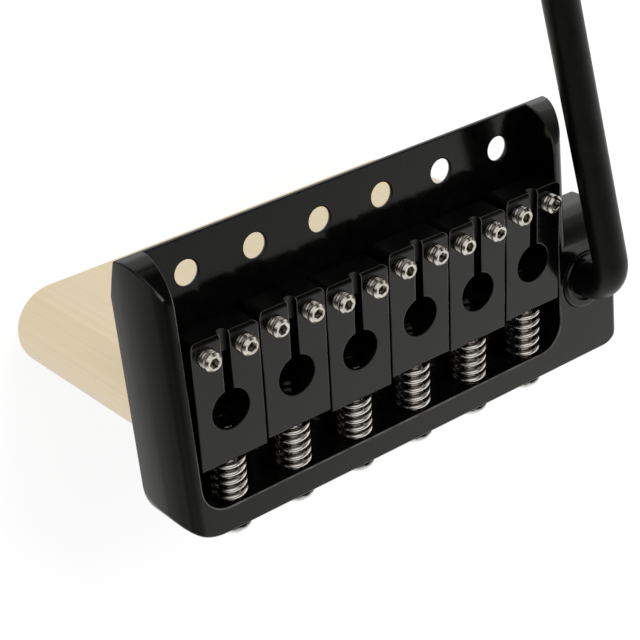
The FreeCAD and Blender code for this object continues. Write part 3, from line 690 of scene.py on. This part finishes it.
def pan_screw(length, head_radius, head_height):
    """Pan-head screw about Z: the head's seat at the origin, the dome up and the thread down."""
    angles = cross_angles()
    drop = head_height - HEAD_RIM
    curve = (head_radius ** 2 + drop ** 2) / (2 * drop)

    def dome(radius):
        return head_height - curve + math.sqrt(curve ** 2 - radius ** 2)

    rings = [ring(angles, -length, SCREW_RADIUS - SCREW_POINT)]
    rings += thread_rings(angles, SCREW_POINT - length, -SCREW_NECK, SCREW_RADIUS)
    rings += [ring(angles, 0, SCREW_RADIUS), ring(angles, 0, head_radius - HEAD_EDGE),
              ring(angles, HEAD_EDGE, head_radius), ring(angles, HEAD_RIM - HEAD_EDGE, head_radius)]
    rings += recess_rings(angles, dome, head_radius - HEAD_EDGE)
    return lofted(rings, (0, 0, -length), (0, 0, head_height - CROSS_DEPTH))


def flat_screw(length, head_radius):
    """Countersunk screw about Z, its flat head at the origin."""
    angles = cross_angles()
    rings = [ring(angles, -length, BLOCK_SCREW_RADIUS * BLOCK_SCREW_POINT_SHARE),
             ring(angles, SCREW_POINT - length, BLOCK_SCREW_RADIUS),
             ring(angles, BLOCK_SCREW_RADIUS - head_radius, BLOCK_SCREW_RADIUS),
             ring(angles, -BLOCK_SCREW_EDGE, head_radius - BLOCK_SCREW_EDGE)]
    rings += recess_rings(angles, lambda radius: 0, head_radius - 2 * BLOCK_SCREW_EDGE)
    return lofted(rings, (0, 0, -length), (0, 0, -CROSS_DEPTH))


def coil(radius, first, last):
    """Round wire wound about Y between two places, right-handed, with closer turns at its ends."""
    section = even_angles(WIRE_SIDES)
    steps = SPRING_TURNS * COIL_STEPS
    pace = [END_PACE + MIDDLE_GAIN * min(1, step / COIL_STEPS, (steps - step) / COIL_STEPS)
            for step in range(steps)]
    rises = [(last - first) * share / sum(pace) for share in pace]
    rings = []
    for step in range(steps + 1):
        angle = FULL_TURN * step / COIL_STEPS - math.pi / 2
        out = Vector((-math.cos(angle), 0, math.sin(angle)))
        heading = Vector((math.sin(angle) * radius * FULL_TURN / COIL_STEPS, rises[min(step, steps - 1)],
                          math.cos(angle) * radius * FULL_TURN / COIL_STEPS)).normalized()
        side = heading.cross(out)
        middle = out * radius + Vector((0, first + sum(rises[:step]), 0))
        thin = WIRE_END_SHARE if step in (0, steps) else 1
        rings.append([middle + (out * math.cos(turn) + side * math.sin(turn)) * WIRE_RADIUS * thin
                      for turn in section])
    ends = [sum(end_ring, Vector()) / len(section) for end_ring in (rings[0], rings[-1])]
    return lofted(rings, ends[0], ends[1])


def screw_place(string):
    """Matrix of a string's screw: X across, Y forward along the screw, origin inside the rear wall."""
    along = Vector(JOINTS[f"saddle_slide_{string}"]["axis"])
    across = Vector((1, 0, 0))
    place = Matrix((across, along, across.cross(along))).transposed().to_4x4()
    place.translation = Vector(JOINTS[f"saddle_lift_{string}"]["pos_m"])
    return place


def local_box(node, place):
    """Lowest and highest corner of a CAD node in the coordinates of a place."""
    inside = [place.inverted() @ vertex.co for vertex in frame["nodes"][node].data.vertices]
    low = Vector(map(min, zip(*inside)))
    high = Vector(map(max, zip(*inside)))
    return low, high


def add_set_screws(string, place):
    """Draw the two set screws of a saddle, with their sockets at different turns."""
    low, high = local_box(f"height_screws_{string}", place)
    outside = (high.y - low.y) / 2
    one = set_screw(high.z - low.z, outside)
    half_gap = (high.x - low.x) / 2 - outside
    middle = (low + high) / 2
    left = Matrix.Translation((middle.x - half_gap, middle.y, low.z))
    right = Matrix.Translation((middle.x + half_gap, middle.y, low.z))
    turned = right @ Matrix.Rotation(SECOND_SCREW_TURN, 4, "Z")
    pair = joined([moved(one, left), moved(one, turned)])
    screws = new_piece(f"set_screws_{string}", *moved(pair, place), SET_SCREW_STEEL, f"feet_{string}",
                       "screw_steel", smooth_angle=30)
    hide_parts(f"height_screws_{string}")


def add_pan_screw(string, place):
    """Draw the intonation screw of a saddle, with a head that is greyer than its thread."""
    low, high = local_box(f"intonation_screw_{string}", place)
    whole = pan_screw(high.y - HEAD_SEAT, (high.x - low.x) / 2, HEAD_SEAT - low.y)
    to_rear = Matrix.Translation((0, HEAD_SEAT, 0)) @ Matrix.Rotation(math.pi / 2, 4, "X")
    turned = place @ to_rear @ Matrix.Rotation(HEAD_TURN_PER_STRING * string, 4, "Z")
    screw = new_piece(f"pan_screw_{string}", *moved(whole, turned), HEAD_STEEL, f"screw_{string}",
                      "screw_steel", smooth_angle=35)
    # The thread's material paints a darker shade into its hollows, over a wider reach, than the head's.
    screw.data.materials.append(SCREW_STEEL)
    for face in screw.data.polygons:
        face.material_index = int((place.inverted() @ face.center).y > HEAD_SEAT)
    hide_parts(f"intonation_screw_{string}")


def add_spring(string, place):
    """Draw the spring between the rear wall and a saddle."""
    low, high = local_box(f"intonation_spring_{string}", place)
    wire = coil((high.x - low.x) / 2 - WIRE_RADIUS, low.y + WIRE_RADIUS, high.y - WIRE_RADIUS)
    wound = new_piece(f"coil_spring_{string}", *moved(wire, place), SPRING_STEEL, None, "spring_steel")
    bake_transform(wound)
    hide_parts(f"intonation_spring_{string}")


def add_block_screws():
    """Draw the three screws that hold the block, flush in the floor of the tray."""
    low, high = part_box("block_screws")
    head_radius = (high.y - low.y) / 2
    one = flat_screw(high.z - low.z, head_radius)
    row = [moved(one, Matrix.Translation((x, (low.y + high.y) / 2, high.z)))
           for x in (low.x + head_radius, 0, high.x - head_radius)]
    flush = new_piece("flush_screws", *joined(row), SCREW_STEEL, "tray", "screw_steel", smooth_angle=35)
    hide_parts("block_screws")


for string in STRINGS:
    screw_matrix = screw_place(string)
    add_set_screws(string, screw_matrix)
    add_pan_screw(string, screw_matrix)
    add_spring(string, screw_matrix)
add_block_screws()


# Stage: pale floor, white surroundings and soft light

def light_path_share(tree):
    """1 for rays from the camera and from gloss or glass, 0 for the rest."""
    either = calculated(tree, "MAXIMUM", ray(tree, "Is Camera Ray"), ray(tree, "Is Glossy Ray"))
    return calculated(tree, "MAXIMUM", either, ray(tree, "Is Transmission Ray"))


def fade_to_left(tree):
    """1, but less on the far left of the floor for gloss and glass, which see the dim side of the room."""
    place = tree.nodes.new("ShaderNodeNewGeometry")
    away = calculated(tree, "MAXIMUM", lean(tree, place.outputs["Position"], FADE_WAY), FADE_NEAREST)
    near = calculated(tree, "DIVIDE", FADE_DISTANCE, away)
    fade = ranged(tree, near, 0, FADE_START, FADE_LOWEST, 1, "SMOOTHSTEP")
    return calculated(tree, "MAXIMUM", fade, ray(tree, "Is Camera Ray"))


def floor(height):
    """Large pale floor that shows white and still takes the shadow."""
    side = FLOOR_HALF_SIDE
    mesh = bpy.data.meshes.new("floor")
    corners = [(-side, -side, height), (side, -side, height), (side, side, height), (-side, side, height)]
    mesh.from_pydata(corners, [], [(0, 1, 2, 3)])
    made = bpy.data.materials.new("floor_white")
    made.use_nodes = True
    tree = made.node_tree
    tree.nodes.clear()
    out = tree.nodes.new("ShaderNodeOutputMaterial")
    plain = tree.nodes.new("ShaderNodeBsdfDiffuse")
    feed(tree, plain.inputs["Color"], grey(FLOOR_GREY))
    glow = tree.nodes.new("ShaderNodeEmission")
    feed(tree, glow.inputs["Color"], grey(FLOOR_GLOW))
    strength = calculated(tree, "MULTIPLY", light_path_share(tree), fade_to_left(tree))
    tree.links.new(strength, glow.inputs["Strength"])
    both = tree.nodes.new("ShaderNodeAddShader")
    tree.links.new(plain.outputs["BSDF"], both.inputs[0])
    tree.links.new(glow.outputs["Emission"], both.inputs[1])
    tree.links.new(both.outputs["Shader"], out.inputs["Surface"])
    mesh.materials.append(made)
    ground = bpy.data.objects.new("floor", mesh)
    bpy.context.scene.collection.objects.link(ground)


def shade_towards(tree, way, stops):
    """Brightness that depends on how far a view leans towards a way, by (lean, brightness) stops."""
    place = tree.nodes.new("ShaderNodeTexCoord")
    greys = [(position, grey(brightness)) for position, brightness in stops]
    return ramp(tree, lean(tree, place.outputs["Generated"], way), greys)


def white_room(tree):
    """White all round but for a dark hood about a light and a dim left side, seen by gloss and glass only."""
    hood = shade_towards(tree, HOOD_WAY, HOOD_STOPS)
    left = shade_towards(tree, LEFT_WAY, LEFT_STOPS)
    both = mixed(tree, 1, hood, left, "MULTIPLY")
    return mixed(tree, ray(tree, "Is Camera Ray"), both, grey(1))


def surroundings():
    """White to the camera, the white room to gloss and glass, and an even soft light to the rest."""
    world = bpy.data.worlds.new("studio")
    world.use_nodes = True
    tree = world.node_tree
    tree.nodes.clear()
    out = tree.nodes.new("ShaderNodeOutputWorld")
    soft = tree.nodes.new("ShaderNodeBackground")
    feed(tree, soft.inputs["Color"], grey(SOFT_LIGHT))
    white = tree.nodes.new("ShaderNodeBackground")
    tree.links.new(white_room(tree), white.inputs["Color"])
    mix = tree.nodes.new("ShaderNodeMixShader")
    tree.links.new(light_path_share(tree), mix.inputs["Fac"])
    tree.links.new(soft.outputs["Background"], mix.inputs[1])
    tree.links.new(white.outputs["Background"], mix.inputs[2])
    tree.links.new(mix.outputs["Shader"], out.inputs["Surface"])
    bpy.context.scene.world = world


def looking(place, aim):
    """Turn of a lamp or a camera that looks from a place to an aim."""
    return (Vector(aim) - Vector(place)).to_track_quat("-Z", "Y")


def softbox(name, place, aim, size, power):
    """Square area light that looks at a point, and that gloss doesn't see."""
    lamp = bpy.data.lights.new(name, "AREA")
    lamp.shape = "SQUARE"
    lamp.size = size
    lamp.energy = power
    box = bpy.data.objects.new(name, lamp)
    box.location = place
    box.rotation_euler = looking(place, aim).to_euler()
    box.visible_glossy = False
    bpy.context.scene.collection.objects.link(box)


def camera(place, aim, roll, lens):
    """Camera that looks from a place to an aim, rolled about its view by degrees."""
    data = bpy.data.cameras.new("camera")
    data.sensor_width = SENSOR_WIDTH
    data.lens = lens
    data.clip_start = CLIP_START
    made = bpy.data.objects.new("camera", data)
    view = looking(place, aim).to_matrix() @ Matrix.Rotation(math.radians(roll), 3, "Z")
    made.matrix_world = Matrix.Translation(place) @ view.to_4x4()
    bpy.context.scene.collection.objects.link(made)
    bpy.context.scene.camera = made


floor(cad_box[0].z - FLOOR_GAP)
surroundings()
softbox("front", place=(0.25, 0.75, 0.95), aim=(0, -0.015, 0), size=0.9, power=14)
camera(place=(-0.126091, 0.090329, 0.170539), aim=(-0.006974, -0.014038, 0), roll=116.461, lens=98.093)
bpy.context.scene.view_settings.view_transform = "Standard"
